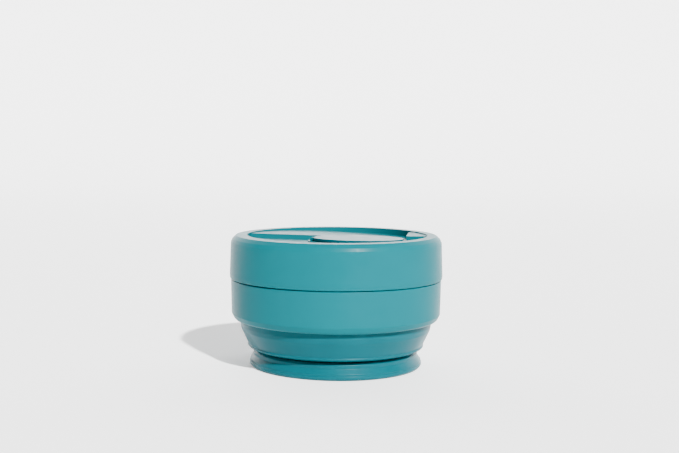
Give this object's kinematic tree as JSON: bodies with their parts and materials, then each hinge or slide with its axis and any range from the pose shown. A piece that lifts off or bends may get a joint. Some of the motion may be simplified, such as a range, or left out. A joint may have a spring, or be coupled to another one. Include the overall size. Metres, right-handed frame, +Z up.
{
  "type": "collapsible travel cup",
  "caption": "Collapsible silicone travel cup folded flat, with a rigid grip sleeve, a screw-on lid and a hinged stopper over the sip hole.",
  "frame": {"origin": "on the table under the centre of the foot ring", "axes": "+Z up along the cup's axis, -Y towards the side the sip hole faces, +X to the right of that side"},
  "size_m": [0.1018, 0.1018, 0.0624],
  "materials": {
    "silicone": "satin",
    "plastic": "matte"
  },
  "bodies": {
    "base": {"base_tier": "silicone", "lower_fold_web": "silicone"},
    "middle": {"middle_tier": "silicone", "upper_fold_web": "silicone"},
    "upper": {"upper_tier": "silicone", "grip_sleeve": "plastic"},
    "seal": {"lid_seal": "silicone"},
    "lid": {"lid_shell": "plastic"},
    "flap": {"stopper": "silicone"}
  },
  "joints": [
    {"name": "lower_expand", "type": "slide", "parent": "base", "child": "middle", "axis": [0, 0, 1], "range_m": [0, 0.0386], "deforming": ["lower_fold_web"]},
    {"name": "upper_expand", "type": "slide", "parent": "middle", "child": "upper", "axis": [0, 0, 1], "range_m": [0, 0.0386], "deforming": ["upper_fold_web"]},
    {"name": "lid_lift", "type": "slide", "parent": "upper", "child": "seal", "axis": [0, 0, 1], "range_m": [0, 0.015]},
    {"name": "lid_twist", "type": "hinge", "parent": "seal", "child": "lid", "pos_m": [0, 0, 0.05], "axis": [0, 0, 1], "range_deg": [0, 361]},
    {"name": "stopper_swing", "type": "hinge", "parent": "lid", "child": "flap", "pos_m": [-0.0095, -0.00459, 0.0603], "axis": [-0.2419, -0.9703, 0], "range_deg": [0, 110]}
  ],
  "couplings": [
    {"joint": "lid_twist", "follows": "lid_lift", "rad_per_m": 418.88}
  ]
}
